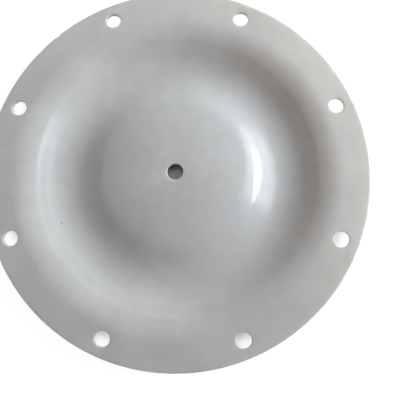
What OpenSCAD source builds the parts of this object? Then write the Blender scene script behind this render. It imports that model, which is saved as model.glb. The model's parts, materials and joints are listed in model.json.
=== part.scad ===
// Pump diaphragm: one moulded PTFE disc of even thickness, with a flat flange that is bolted round its rim,
// one rolled groove that lets the centre travel, and a gently domed centre whose flat land has a hole for
// the pump's shaft.
// The underside of the flange lies on Z = 0 and the disc's axis is Z.

/* [Sheet] */
// Thickness of the disc, the same all over
sheet_t = 2; // [1:0.1:4]

/* [Flange] */
// Diameter of the circle that the bolt holes lie on
bolt_circle_d = 198; // [184:1:260]
// Number of bolt holes
bolt_n = 8; // [4:1:16]
// Diameter of a bolt hole
bolt_hole_d = 8.5; // [4:0.5:9.5]
// Distance from the bolt circle out to the rim
rim_margin = 9.75; // [7.5:0.25:20]
// Distance from the bolt circle in to the inner edge of the flat flange
seat_margin = 5; // [5:0.5:12]
// Chamfer on both edges of the rim
rim_chamfer = 0.3; // [0.1:0.05:0.45]

/* [Groove] */
// Depth of the groove's lowest circle below the flange's top face
groove_depth = 9.2; // [8.2:0.1:11]
// Distance from the flange's inner edge in to the groove's lowest circle
groove_inset = 32.5; // [29.5:0.5:36]
// Radius of the groove's rounded floor
floor_r = 28; // [20:0.5:32]
// Radius of the shoulder, where the flange rolls down into the groove
shoulder_r = 31; // [8:0.5:40]
// Distance from the groove's lowest circle in to the crest, where the centre's dome ends
crest_inset = 21.5; // [19:0.5:24]
// Radius of the crest, which turns the dome down into the groove
crest_r = 55; // [8:1:90]

/* [Centre] */
// Diameter of the flat centre land
land_d = 16; // [14:1:30]
// Drop of the land's top face below the flange's top face
land_drop = 1; // [0:0.1:1.8]
// Height of the land over the crest, which the dome falls by
dome_rise = 3.1; // [0.5:0.1:3.5]
// Diameter of the shaft hole
shaft_hole_d = 9; // [4:0.5:13]

/* [Hidden] */
$fn = 240;
ptfe = [0.86, 0.87, 0.88];

// Radii of the flat stretches, the crest and the groove's lowest circle
bolt_circle_r = bolt_circle_d / 2;
rim_r = bolt_circle_r + rim_margin;
flange_in_r = bolt_circle_r - seat_margin;
groove_r = flange_in_r - groove_inset;
dome_end_r = groove_r - crest_inset;
land_r = land_d / 2;
shaft_r = shaft_hole_d / 2;

// Heights of the top face
flange_z = sheet_t;
land_z = flange_z - land_drop;
groove_z = flange_z - groove_depth;

// Dome: one arc that runs out of the land, with the direction square to it at its end
dome_w = dome_end_r - land_r;
dome_r = (dome_w * dome_w + dome_rise * dome_rise) / (2 * dome_rise);
dome_slope = 2 * atan(dome_rise / dome_w);
dome_n = [sin(dome_slope), cos(dome_slope)];
dome_c = [land_r, land_z - dome_r];
dome_end = dome_c + dome_r * dome_n;
flange_end = [flange_in_r, flange_z];
floor_c = [groove_r, groove_z + floor_r];

// The crest runs on from the dome and the shoulder from the flange, and a straight wall runs tangent from
// each of them to the groove's floor. Each radius is limited so that its wall isn't shorter than wall_min.
wall_min = 1;
function radius_limit(start, n) =
    let (e = start - floor_c)
        (e * e - floor_r * floor_r - wall_min * wall_min) / (2 * (floor_r + e * n));
function wall_slope(c, r) =
    let (e = floor_c - c, radii = r + floor_r)
        atan2(abs(e[0]), e[1]) - atan2(sqrt(e * e - radii * radii), radii);
inner_r = min(crest_r, radius_limit(dome_end, dome_n));
outer_r = min(shoulder_r, radius_limit(flange_end, [0, 1]));
inner_c = dome_end - inner_r * dome_n;
outer_c = [flange_in_r, flange_z - outer_r];
inner_slope = wall_slope(inner_c, inner_r);
outer_slope = wall_slope(outer_c, outer_r);
inner_n = [sin(inner_slope), cos(inner_slope)];
outer_n = [-sin(outer_slope), cos(outer_slope)];

// Levels that clear the section above and below, and a point that clears it over the dome's end
high_z = floor_c[1];
low_z = groove_z - inner_r - outer_r;
dome_high = dome_end + floor_r * dome_n;

// Lap of each arc over its neighbour, so that they cross cleanly where they run out tangent
lap = 0.002;

// Disc of the section about the centre of one of its arcs
module arc_disc(centre, r) {
    translate(centre)
        circle(r);
}

// Blank that the section is cut from, between the shaft hole and the rim
module blank() {
    translate([shaft_r, groove_z - 2 * sheet_t])
        square([rim_r - shaft_r, groove_depth + 2 * sheet_t]);
}

// Ends of a straight wall, this far under the top face, from the arc above it down to the floor
function wall_ends(c, r, n, under) =
    [c + (r - under - lap) * n, floor_c - (floor_r + under + lap) * n];

function reversed(points) = [for (i = [len(points) - 1 : -1 : 0]) points[i]];

// What is cut away above the top face: over the land and the dome, over the crest and its wall, in the
// groove, and over the shoulder and its wall
module above_sheet() {
    difference() {
        polygon([[0, high_z], [0, land_z], [land_r, land_z], dome_c, floor_c]);
        arc_disc(dome_c, dome_r);
    }
    difference() {
        polygon(concat([dome_high, inner_c],
                       wall_ends(inner_c, inner_r, inner_n, 0), [floor_c]));
        arc_disc(inner_c, inner_r + lap);
    }
    arc_disc(floor_c, floor_r + 2 * lap);
    difference() {
        polygon(concat([[flange_in_r, high_z], outer_c],
                       wall_ends(outer_c, outer_r, outer_n, 0), [floor_c]));
        arc_disc(outer_c, outer_r);
    }
}

// What is cut away under the sheet, from below the land out to below the flange
module below_sheet() {
    translate([0, low_z])
        square([land_r, land_z - sheet_t - low_z]);
    intersection() {
        arc_disc(dome_c, dome_r - sheet_t);
        polygon([[0, high_z], [0, dome_c[1]], dome_c, dome_high]);
    }
    arc_disc(inner_c, inner_r - sheet_t + lap);
    difference() {
        polygon(concat([[land_r, low_z], inner_c],
                       wall_ends(inner_c, inner_r, inner_n, sheet_t), [floor_c],
                       reversed(wall_ends(outer_c, outer_r, outer_n, sheet_t)),
                       [outer_c, [flange_in_r, low_z]]));
        arc_disc(floor_c, floor_r + sheet_t + 2 * lap);
    }
    arc_disc(outer_c, outer_r - sheet_t);
    translate([flange_in_r, low_z])
        square([rim_r, flange_z - sheet_t - low_z]);
}

// Chamfer cut at a corner of the rim
module rim_cut(corner_z) {
    translate([rim_r, corner_z])
        rotate(45)
            square(rim_chamfer * sqrt(2), center = true);
}

// Section of the sheet, from the shaft hole to the rim
module section() {
    difference() {
        blank();
        above_sheet();
        below_sheet();
        rim_cut(flange_z);
        rim_cut(flange_z - sheet_t);
    }
}

// Bolt holes, the first one half a pitch away from the X axis
module bolt_holes() {
    pitch = 360 / bolt_n;
    for (i = [0 : bolt_n - 1])
        rotate((i + 0.5) * pitch)
            translate([bolt_circle_r, 0, flange_z - 2 * sheet_t])
                cylinder(d = bolt_hole_d, h = 3 * sheet_t);
}

// The whole disc, turned in one piece and drilled
module diaphragm() {
    color(ptfe)
        difference() {
            rotate_extrude()
                section();
            bolt_holes();
        }
}

diaphragm();
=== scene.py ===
import json
from math import atan, atan2, cos, pi, radians, sin, sqrt

import bmesh
import bpy
from mathutils import Euler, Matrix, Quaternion, Vector


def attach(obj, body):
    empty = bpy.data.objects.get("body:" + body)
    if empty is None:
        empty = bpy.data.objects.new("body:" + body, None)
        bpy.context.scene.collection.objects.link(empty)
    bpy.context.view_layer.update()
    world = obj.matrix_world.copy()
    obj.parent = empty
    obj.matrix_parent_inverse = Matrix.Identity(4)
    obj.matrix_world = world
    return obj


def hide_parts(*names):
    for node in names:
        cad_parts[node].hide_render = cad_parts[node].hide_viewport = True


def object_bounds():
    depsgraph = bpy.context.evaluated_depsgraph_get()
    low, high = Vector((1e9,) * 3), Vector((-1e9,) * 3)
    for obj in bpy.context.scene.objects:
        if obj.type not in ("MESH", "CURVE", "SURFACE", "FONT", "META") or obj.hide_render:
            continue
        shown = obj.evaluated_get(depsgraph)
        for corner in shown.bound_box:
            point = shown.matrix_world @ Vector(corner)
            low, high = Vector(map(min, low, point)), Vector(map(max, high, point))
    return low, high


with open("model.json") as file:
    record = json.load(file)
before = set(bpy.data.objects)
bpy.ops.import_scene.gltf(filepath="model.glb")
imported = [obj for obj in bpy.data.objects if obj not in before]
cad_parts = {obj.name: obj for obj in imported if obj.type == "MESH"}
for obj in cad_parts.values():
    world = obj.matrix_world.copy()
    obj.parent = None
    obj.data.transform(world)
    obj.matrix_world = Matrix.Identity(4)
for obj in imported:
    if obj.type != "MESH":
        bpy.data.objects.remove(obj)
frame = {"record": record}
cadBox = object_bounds()
mounts = {mount["name"]: mount for mount in frame["record"]["mounts"]}
mm = 0.001
scene = bpy.context.scene
scene.view_settings.view_transform = "Standard"
print("frame loaded, disc", round((cadBox[1].x - cadBox[0].x) / mm, 1), "mm across")


# sRGB hex text to the linear colour that the sockets take
def linear(hexText):
    channels = [int(hexText[i:i + 2], 16) / 255 for i in (1, 3, 5)]
    return [c / 12.92 if c <= 0.04045 else ((c + 0.055) / 1.055) ** 2.4 for c in channels] + [1]


# adds a node: lower-case settings are its own properties, the others and the links are sockets
def addNode(tree, kind, settings={}, links={}):
    node = tree.nodes.new(kind)
    for name, value in settings.items():
        if isinstance(name, str) and name[0].islower():
            setattr(node, name, value)
        else:
            node.inputs[name].default_value = value
    for name, source in links.items():
        tree.links.new(source, node.inputs[name])
    return node


def newMaterial(name):
    material = bpy.data.materials.new(name)
    material.use_nodes = True
    material.node_tree.nodes.clear()
    return material, material.node_tree


# texture scale for a pattern of this size in millimetres, on object coordinates in metres
def perMetre(size):
    return 1 / (size * mm)


# the disc, in millimetres: what the frame states is read from it, the rest are the moulding's own sizes
boltDims = mounts["rim_bolts"]["dims"]
disc = {
    "rimRadius": cadBox[1].x / mm,
    "boltCircle": boltDims["pcd_mm"] / 2,
    "boltCount": boltDims["count"],
    "boltHole": boltDims["hole_r_mm"],
    "shaftHole": mounts["shaft_hole"]["dims"]["r_mm"],
    "flangeTop": mounts["flange_top"]["pos_m"][2] / mm,
    "flangeUnder": mounts["flange_underside"]["pos_m"][2] / mm,
    "landTop": mounts["land_top"]["pos_m"][2] / mm,
    "lowest": cadBox[0].z / mm,
    "flangeInner": 94,
    "shoulder": 31,
    "grooveMiddle": 61.5,
    "grooveFloor": 28,
    "crest": 55,
    "domeEnd": 40,
    "domeRise": 3.1,
    "landRadius": 8,
    # faint waves left by the moulding: radii of the inner side, top and outer side, and the height
    "waves": [(41.5, 48.6, 55.5, -0.11), (48.6, 56.5, 72.0, 0.10), (77.8, 80.8, 83.4, 0.075)],
    "edgeRound": 0.3,     # all cut edges are slightly broken
    "edgeSupport": 0.2,   # ring beside each broken edge, keeps the flats flat
    # small damage on the rim: angle in degrees, depth and half width in millimetres
    "nicks": [(130.9, 0.5, 1.4), (138.2, 0.25, 2.5), (46.7, 0.3, 1.2)],
    "nickReach": 2,       # how far in from the rim a nick pulls the mesh
    # mesh steps across the sheet, from the land out to the flange
    "landSteps": 3,
    "domeSteps": 14,
    "crestSteps": 12,
    "wallSteps": 12,
    "grooveSteps": 26,
    "shoulderSteps": 24,
    "flangeRows": 12,
    "pitchSteps": 44,     # mesh steps from one bolt hole to the next
    "patchSteps": 12,     # of these, the steps of the square of rings round a hole
    "holeRings": 4,
}


# slope of the straight wall that is tangent to the arc above it and to the groove's floor
def wallSlope(arcMiddle, arcRadius, floorMiddle, floorRadius):
    across = abs(floorMiddle[0] - arcMiddle[0])
    rise = floorMiddle[1] - arcMiddle[1]
    radii = arcRadius + floorRadius
    straight = sqrt(max(0, across ** 2 + rise ** 2 - radii ** 2))
    return atan2(across, rise) - atan2(straight, radii)


# points of an arc as (r, z, slope): a slope over 0 falls away from the axis,
# and side is 1 on a crest and -1 in a trough
def arcPoints(middle, radius, fromSlope, toSlope, steps, side):
    slopes = [fromSlope + (toSlope - fromSlope) * i / steps for i in range(steps + 1)]
    return [(middle[0] + side * radius * sin(s), middle[1] + side * radius * cos(s), s) for s in slopes]


# points of a straight wall between two arcs, without its ends
def wallPoints(one, two, steps):
    shares = [i / steps for i in range(1, steps)]
    return [tuple(a + (b - a) * share for a, b in zip(one, two)) for share in shares]


# top face from the shaft hole to the flange, and the sheet's thickness
def topSection(d):
    thickness = d["flangeTop"] - d["flangeUnder"]
    grooveTop = d["lowest"] + thickness
    domeWidth = d["domeEnd"] - d["landRadius"]
    domeRadius = (domeWidth ** 2 + d["domeRise"] ** 2) / (2 * d["domeRise"])
    domeSlope = 2 * atan(d["domeRise"] / domeWidth)
    domeMiddle = (d["landRadius"], d["landTop"] - domeRadius)
    towards = domeRadius - d["crest"]
    crestMiddle = (domeMiddle[0] + towards * sin(domeSlope), domeMiddle[1] + towards * cos(domeSlope))
    floorMiddle = (d["grooveMiddle"], grooveTop + d["grooveFloor"])
    shoulderMiddle = (d["flangeInner"], d["flangeTop"] - d["shoulder"])
    innerSlope = wallSlope(crestMiddle, d["crest"], floorMiddle, d["grooveFloor"])
    outerSlope = wallSlope(shoulderMiddle, d["shoulder"], floorMiddle, d["grooveFloor"])
    landStart = d["shaftHole"] + d["edgeRound"] + d["edgeSupport"]
    landStep = (d["landRadius"] - landStart) / d["landSteps"]
    grooveArc = arcPoints(floorMiddle, d["grooveFloor"], innerSlope, -outerSlope, d["grooveSteps"], -1)
    shoulderArc = arcPoints(shoulderMiddle, d["shoulder"], -outerSlope, 0, d["shoulderSteps"], 1)
    section = [(landStart + landStep * i, d["landTop"], 0) for i in range(d["landSteps"])]
    section += arcPoints(domeMiddle, domeRadius, 0, domeSlope, d["domeSteps"], 1)
    section += arcPoints(crestMiddle, d["crest"], domeSlope, innerSlope, d["crestSteps"], 1)[1:]
    section += wallPoints(section[-1], grooveArc[0], d["wallSteps"]) + grooveArc
    section += wallPoints(grooveArc[-1], shoulderArc[0], d["wallSteps"]) + shoulderArc
    return section, thickness


# height of the faint waves over the plain section at this radius
def waveHeight(d, radius):
    total = 0
    for inner, top, outer, height in d["waves"]:
        share = (radius - inner) / (top - inner) if radius < top else (outer - radius) / (outer - top)
        share = max(0, share)
        total += height * share * share * (3 - 2 * share)
    return total


# quarter round that breaks an edge, as (r, z), from one flat to the other
def brokenEdge(cornerR, cornerZ, towardsR, towardsZ, radius, steps=3):
    middleR, middleZ = cornerR + towardsR * radius, cornerZ + towardsZ * radius
    turns = [pi / 2 * i / steps for i in range(steps + 1)]
    return [(middleR - towardsR * radius * sin(a), middleZ - towardsZ * radius * cos(a)) for a in turns]


# how far the rim is set in at this angle, by the small damage on it
def rimLoss(d, angle):
    loss = 0
    for middle, depth, halfWidth in d["nicks"]:
        away = abs((angle - radians(middle) + pi) % (2 * pi) - pi) * d["rimRadius"]
        loss += depth * max(0, 1 - away / halfWidth)
    return loss


# point on a circle round a bolt hole, in the direction of a point of the square round it
def holePoint(middle, vert, radius, height):
    a = atan2(vert.co.y / mm - middle.y, vert.co.x / mm - middle.x)
    return Vector((middle.x + radius * cos(a), middle.y + radius * sin(a), height)) * mm


# whole disc as one closed mesh: rings about the axis, with a square of rings round each bolt hole
def buildDisc(d):
    section, thickness = topSection(d)
    top = [(r, z + waveHeight(d, r)) for r, z, slope in section]
    under = [(r - thickness * sin(slope), z - thickness * cos(slope)) for r, z, slope in section]
    flangeTop, flangeUnder = d["flangeTop"], d["flangeUnder"]
    edge = d["edgeRound"]
    outer = d["rimRadius"] - edge - d["edgeSupport"]
    flange = [d["flangeInner"] + (outer - d["flangeInner"]) * i / d["flangeRows"]
              for i in range(1, d["flangeRows"] + 1)]
    # one closed loop of rows: in over the top, through the shaft hole, out under the sheet and over the rim
    rows = top[::-1]
    rows += brokenEdge(d["shaftHole"], d["landTop"], 1, -1, edge)
    rows += brokenEdge(d["shaftHole"], d["landTop"] - thickness, 1, 1, edge)[::-1]
    rows += under
    underStart = len(rows) - 1
    rows += [(r, flangeUnder) for r in flange]
    rows += brokenEdge(d["rimRadius"], flangeUnder, -1, 1, edge)
    rows += brokenEdge(d["rimRadius"], flangeTop, -1, -1, edge)[::-1]
    topStart = len(rows)
    rows += [(r, flangeTop) for r in flange[::-1]]

    bm = bmesh.new()
    around = d["boltCount"] * d["pitchSteps"]
    half = d["patchSteps"] // 2
    middles = [int((k + 0.5) * d["pitchSteps"]) for k in range(d["boltCount"])]
    # rows and columns that the squares round the bolt holes take up
    underRows = list(range(underStart, underStart + d["flangeRows"] + 1))
    topRows = [i % len(rows) for i in range(topStart, topStart + d["flangeRows"] + 1)]
    flatRows = set(underRows[:-1] + topRows[:-1])
    inSquare = {j % around for m in middles for j in range(m - half + 1, m + half)}
    squareFaces = {j % around for m in middles for j in range(m - half, m + half)}
    hidden = {(i, j) for i in underRows[1:-1] + topRows[1:-1] for j in inSquare}

    ring = {}
    for i, (r, z) in enumerate(rows):
        nearRim = max(0, 1 - (d["rimRadius"] - r) / d["nickReach"])
        for j in range(around):
            if (i, j) not in hidden:
                a = 2 * pi * j / around
                out = r - nearRim * rimLoss(d, a)
                ring[i, j] = bm.verts.new(Vector((out * cos(a), out * sin(a), z)) * mm)
    for i in range(len(rows)):
        n = (i + 1) % len(rows)
        for j in range(around):
            if not (i in flatRows and j in squareFaces):
                k = (j + 1) % around
                bm.faces.new((ring[i, j], ring[n, j], ring[n, k], ring[i, k]))

    # each bolt hole: rings from the square on top in to the edge, down the wall and out to the square below
    shares = [k / d["holeRings"] for k in range(1, d["holeRings"])]
    beside = d["boltHole"] + edge + d["edgeSupport"]
    wall = [(beside, flangeTop)] + brokenEdge(d["boltHole"], flangeTop, 1, -1, edge)
    wall += brokenEdge(d["boltHole"], flangeUnder, 1, 1, edge)[::-1] + [(beside, flangeUnder)]
    for m in middles:
        a = 2 * pi * m / around
        middle = Vector((d["boltCircle"] * cos(a), d["boltCircle"] * sin(a)))
        left, right = (m - half) % around, (m + half) % around
        columns = [(m - half + k) % around for k in range(d["patchSteps"] + 1)]
        squares = []
        for flat in (topRows[::-1], underRows):
            corners = [(flat[0], j) for j in columns] + [(i, right) for i in flat[1:]]
            corners += [(flat[-1], j) for j in columns[-2::-1]] + [(i, left) for i in flat[-2:0:-1]]
            squares.append([ring[c] for c in corners])
        strips = [squares[0]]
        for share in shares:
            strips.append([bm.verts.new(v.co.lerp(holePoint(middle, v, beside, flangeTop), share))
                           for v in squares[0]])
        for radius, height in wall:
            strips.append([bm.verts.new(holePoint(middle, v, radius, height)) for v in squares[0]])
        for share in shares[::-1]:
            strips.append([bm.verts.new(v.co.lerp(holePoint(middle, v, beside, flangeUnder), share))
                           for v in squares[1]])
        strips.append(squares[1])
        for one, two in zip(strips, strips[1:]):
            for k in range(len(one)):
                n = (k + 1) % len(one)
                bm.faces.new((one[k], two[k], two[n], one[n]))

    bmesh.ops.recalc_face_normals(bm, faces=bm.faces)
    mesh = bpy.data.meshes.new("moulded_disc")
    bm.to_mesh(mesh)
    bm.free()
    mesh.shade_smooth()
    return mesh


# PTFE, compression moulded: a milky white that lets some light through the sheet, so that shade on it is
# soft, with a satin skin that spreads a window's light and still mirrors its edge. It is slightly cloudy
# where the powder fused unevenly, and a few dark grains are caught in it.
ptfe = {
    "colour": "#d8d1c8",
    "cloudColour": "#cfc8bf",
    "cloudSize": 7,         # millimetres
    "hazeSize": 30,
    "ior": 1.38,
    "satin": 0.3,           # level of the broad gloss under the polished skin
    "roughness": 0.34,
    "roughnessSpread": 0.06,
    "skinWeight": 0.9,      # share of the surface where the skin is polished by the mould
    "skinRoughness": 0.09,
    "rubSize": 9,           # patches where the skin is a little duller
    "depth": 4.2,           # millimetres that light travels in the sheet
    "depthWeight": 1.0,
    "depthTint": (1.0, 0.9, 0.78),   # red light travels farthest
    "skinSize": 1.6,        # fine moulded ripple, drawn coarser than the real grain so that it shows
    "skinHeight": 0.004,
    # marks by colour, each with x, y and width in millimetres and its share of the colour
    "marks": {
        # dark grains
        "#5a4636": [(-65.7, -28.5, 0.8, 0.9), (-54.0, 33.5, 0.6, 0.5), (-55.1, -33.4, 0.6, 0.4),
                    (-60.0, -33.8, 0.5, 0.3), (-64.7, -34.8, 0.5, 0.3), (-78.6, -63.0, 0.6, 0.4),
                    (-73.9, -65.5, 0.6, 0.4), (-70.7, 70.4, 0.6, 0.4)],
        "#d9a06c": [(39.3, 33.1, 0.7, 0.6)],      # rusty grain
        "#f2f0ea": [(-31.9, 54.9, 0.6, 0.7)],     # pale grain
        "#e0dac9": [(-12.1, -4.5, 8.0, 0.45)],    # pale cloud
    },
    "markEdge": (0.3, 0.7),   # a mark fades out between these shares of its width from its middle
}


def ptfeCompressionMoulded(p):
    material, tree = newMaterial("PTFE, compression moulded")
    place = addNode(tree, "ShaderNodeTexCoord").outputs["Object"]
    # cloudy colour: fine clouds over a broad haze
    cloud = addNode(tree, "ShaderNodeTexNoise",
                    {"Scale": perMetre(p["cloudSize"]), "Detail": 4.0, "Roughness": 0.55},
                    {"Vector": place})
    haze = addNode(tree, "ShaderNodeTexNoise",
                   {"Scale": perMetre(p["hazeSize"]), "Detail": 2.0}, {"Vector": place})
    cloudy = addNode(tree, "ShaderNodeMath", {"operation": "MULTIPLY_ADD", 1: 0.6},
                     {0: cloud.outputs["Fac"], 2: haze.outputs["Fac"]})
    cloudShare = addNode(tree, "ShaderNodeMapRange", {"From Min": 0.55, "From Max": 1.05},
                         {"Value": cloudy.outputs[0]})
    body = addNode(tree, "ShaderNodeMix",
                   {"data_type": "RGBA", 6: linear(p["colour"]), 7: linear(p["cloudColour"])},
                   {0: cloudShare.outputs["Result"]})
    colour = body.outputs[2]
    # each mark is a soft-edged dot, seen from above
    flat = addNode(tree, "ShaderNodeVectorMath", {"operation": "MULTIPLY", 1: (1, 1, 0)}, {0: place})
    fadeStart, fadeEnd = p["markEdge"]
    for tint, marks in p["marks"].items():
        for x, y, width, share in marks:
            away = addNode(tree, "ShaderNodeVectorMath", {"operation": "DISTANCE", 1: (x * mm, y * mm, 0)},
                           {0: flat.outputs[0]})
            dot = addNode(tree, "ShaderNodeMapRange",
                          {"From Min": fadeStart * width * mm, "From Max": fadeEnd * width * mm,
                           "To Min": share, "To Max": 0.0}, {"Value": away.outputs["Value"]})
            colour = addNode(tree, "ShaderNodeMix", {"data_type": "RGBA", 7: linear(tint)},
                             {0: dot.outputs["Result"], 6: colour}).outputs[2]
    # satin that is a little duller in patches, and a fine ripple
    rub = addNode(tree, "ShaderNodeTexNoise",
                  {"Scale": perMetre(p["rubSize"]), "Detail": 3.0}, {"Vector": place})
    rough = addNode(tree, "ShaderNodeMapRange",
                    {"From Min": 0.3, "From Max": 0.7, "To Min": p["roughness"] - p["roughnessSpread"],
                     "To Max": p["roughness"] + p["roughnessSpread"]}, {"Value": rub.outputs["Fac"]})
    skin = addNode(tree, "ShaderNodeTexNoise",
                   {"Scale": perMetre(p["skinSize"]), "Detail": 2.0}, {"Vector": place})
    bump = addNode(tree, "ShaderNodeBump", {"Strength": 1.0, "Distance": p["skinHeight"] * mm},
                   {"Height": skin.outputs["Fac"]})
    shader = addNode(tree, "ShaderNodeBsdfPrincipled",
                     {"IOR": p["ior"], "Specular IOR Level": p["satin"],
                      "Subsurface Weight": p["depthWeight"], "Subsurface Radius": p["depthTint"],
                      "Subsurface Scale": p["depth"] * mm, "Coat Weight": p["skinWeight"],
                      "Coat Roughness": p["skinRoughness"], "Coat IOR": p["ior"]},
                     {"Base Color": colour, "Roughness": rough.outputs["Result"],
                      "Normal": bump.outputs["Normal"]})
    addNode(tree, "ShaderNodeOutputMaterial", {}, {"Surface": shader.outputs["BSDF"]})
    return material


discObject = bpy.data.objects.new("moulded_disc", buildDisc(disc))
scene.collection.objects.link(discObject)
discObject.data.materials.append(ptfeCompressionMoulded(ptfe))
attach(discObject, "root")
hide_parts("diaphragm")
print("disc built,", len(discObject.data.polygons), "faces")

# floor: plain pale paper that shows as white where it is open, with the disc's shadow left on it
floor = {
    "size": 6.0,            # metres
    "colour": "#f6f4f0",
    "white": 0.97,          # glow towards the eye, which the lit paper brings up to white
    "paper": 0.10,          # share of the paper's own light and shade that stays in the white
    "closedIn": 0.23,       # up to this share of open sky the paper shows only as it is lit
    "open": 0.30,           # from this share on it shows as white
    "reach": 40,            # millimetres within which something closes it in
    "skySamples": 16,
}


# 1 for rays that show a surface to the eye, straight or mirrored or through something
def seenByEye(tree):
    path = addNode(tree, "ShaderNodeLightPath")
    either = addNode(tree, "ShaderNodeMath", {"operation": "MAXIMUM"},
                     {0: path.outputs["Is Camera Ray"], 1: path.outputs["Is Glossy Ray"]})
    return addNode(tree, "ShaderNodeMath", {"operation": "MAXIMUM"},
                   {0: either.outputs[0], 1: path.outputs["Is Transmission Ray"]}).outputs[0]


def paperSweep(f):
    material, tree = newMaterial("matt paper sweep")
    sky = addNode(tree, "ShaderNodeAmbientOcclusion",
                  {"samples": f["skySamples"], "Distance": f["reach"] * mm})
    clear = addNode(tree, "ShaderNodeMapRange", {"From Min": f["closedIn"], "From Max": f["open"]},
                    {"Value": sky.outputs["AO"]})
    shown = addNode(tree, "ShaderNodeMath", {"operation": "MULTIPLY"},
                    {0: seenByEye(tree), 1: clear.outputs["Result"]})
    paper = addNode(tree, "ShaderNodeBsdfDiffuse", {"Color": linear(f["colour"])})
    share = [c * f["paper"] for c in linear(f["colour"])[:3]] + [1]
    faint = addNode(tree, "ShaderNodeBsdfDiffuse", {"Color": share})
    glow = addNode(tree, "ShaderNodeEmission", {"Color": (1, 1, 1, 1), "Strength": f["white"]})
    both = addNode(tree, "ShaderNodeAddShader", {}, {0: faint.outputs[0], 1: glow.outputs[0]})
    mixed = addNode(tree, "ShaderNodeMixShader", {},
                    {0: shown.outputs[0], 1: paper.outputs[0], 2: both.outputs[0]})
    addNode(tree, "ShaderNodeOutputMaterial", {}, {"Surface": mixed.outputs[0]})
    return material


def buildFloor(f):
    bm = bmesh.new()
    bmesh.ops.create_grid(bm, x_segments=1, y_segments=1, size=f["size"] / 2)
    mesh = bpy.data.meshes.new("floor")
    bm.to_mesh(mesh)
    bm.free()
    made = bpy.data.objects.new("floor", mesh)
    made.location.z = cadBox[0].z
    made.data.materials.append(paperSweep(f))
    scene.collection.objects.link(made)
    return made


buildFloor(floor)
print("floor laid")

# light: one long upright softbox on the right, like a row of windows, in metres and degrees
softbox = {
    "azimuth": -18.2,       # direction that it faces the disc from
    "distance": 0.50,       # from the axis to its plane
    "along": 0.89,          # along its plane to its middle
    "height": 0.627,        # of its middle
    "width": 1.571,
    "tall": 1.054,
    "roll": 0,              # turn in its plane
    "radiance": 6.3,
    "colour": "#e1f0ff",
}
# narrow strip lamp beside it, whose upper edge makes the crisp crescent on the crest
strip = {
    "azimuth": 18,
    "distance": 0.65,
    "along": -0.145,
    "height": 0.683,
    "width": 0.69,
    "tall": 0.08,
    "roll": -22,
    "radiance": 18.0,
    "colour": "#e0efff",
}
# dim warm room round it all, which the eye sees as a white backdrop
room = {
    "colour": "#ff9620",
    "strength": 0.045,
    "whiteBelow": 0.5,      # the room is white to the eye up to this share of straight up
}


def addPanel(name, s):
    data = bpy.data.lights.new(name, "AREA")
    data.shape = "RECTANGLE"
    data.size = s["width"]
    data.size_y = s["tall"]
    data.energy = s["radiance"] * pi * s["width"] * s["tall"]
    data.color = linear(s["colour"])[:3]
    made = bpy.data.objects.new(name, data)
    facing = radians(s["azimuth"])
    outward = Vector((cos(facing), sin(facing), 0))
    sideways = Vector((-sin(facing), cos(facing), 0))
    made.location = outward * s["distance"] + sideways * s["along"]
    made.location.z = s["height"]
    turn = outward.to_track_quat("Z", "Y") @ Quaternion((0, 0, 1), radians(s["roll"]))
    made.rotation_euler = turn.to_euler()
    scene.collection.objects.link(made)


def addRoom(r):
    world = bpy.data.worlds.new("dim room")
    world.use_nodes = True
    tree = world.node_tree
    tree.nodes.clear()
    way = addNode(tree, "ShaderNodeTexCoord").outputs["Generated"]
    up = addNode(tree, "ShaderNodeSeparateXYZ", {}, {0: way}).outputs["Z"]
    low = addNode(tree, "ShaderNodeMath", {"operation": "LESS_THAN", 1: r["whiteBelow"]}, {0: up})
    shown = addNode(tree, "ShaderNodeMath", {"operation": "MULTIPLY"},
                    {0: seenByEye(tree), 1: low.outputs[0]})
    dim = addNode(tree, "ShaderNodeBackground", {"Color": linear(r["colour"]), "Strength": r["strength"]})
    white = addNode(tree, "ShaderNodeBackground", {"Color": (1, 1, 1, 1), "Strength": 1.0})
    mixed = addNode(tree, "ShaderNodeMixShader", {},
                    {0: shown.outputs[0], 1: dim.outputs[0], 2: white.outputs[0]})
    addNode(tree, "ShaderNodeOutputWorld", {}, {"Surface": mixed.outputs[0]})
    scene.world = world


addPanel("softbox", softbox)
addPanel("strip", strip)
addRoom(room)
print("light set")

# camera: a little in front of the middle and almost straight above
photo = {
    "location": (22.5, -49.2, 233.0),   # millimetres
    "rotation": (8.10, 2.01, 0.28),     # degrees
    "lens": 37.8,
    "sensor": 36.0,
    "clipStart": 0.01,                  # metres
}


def addCamera(c):
    data = bpy.data.cameras.new("camera")
    data.sensor_width = c["sensor"]
    data.lens = c["lens"]
    data.clip_start = c["clipStart"]
    made = bpy.data.objects.new("camera", data)
    made.location = Vector(c["location"]) * mm
    made.rotation_euler = Euler([radians(a) for a in c["rotation"]])
    scene.collection.objects.link(made)
    scene.camera = made


addCamera(photo)
print("camera set")
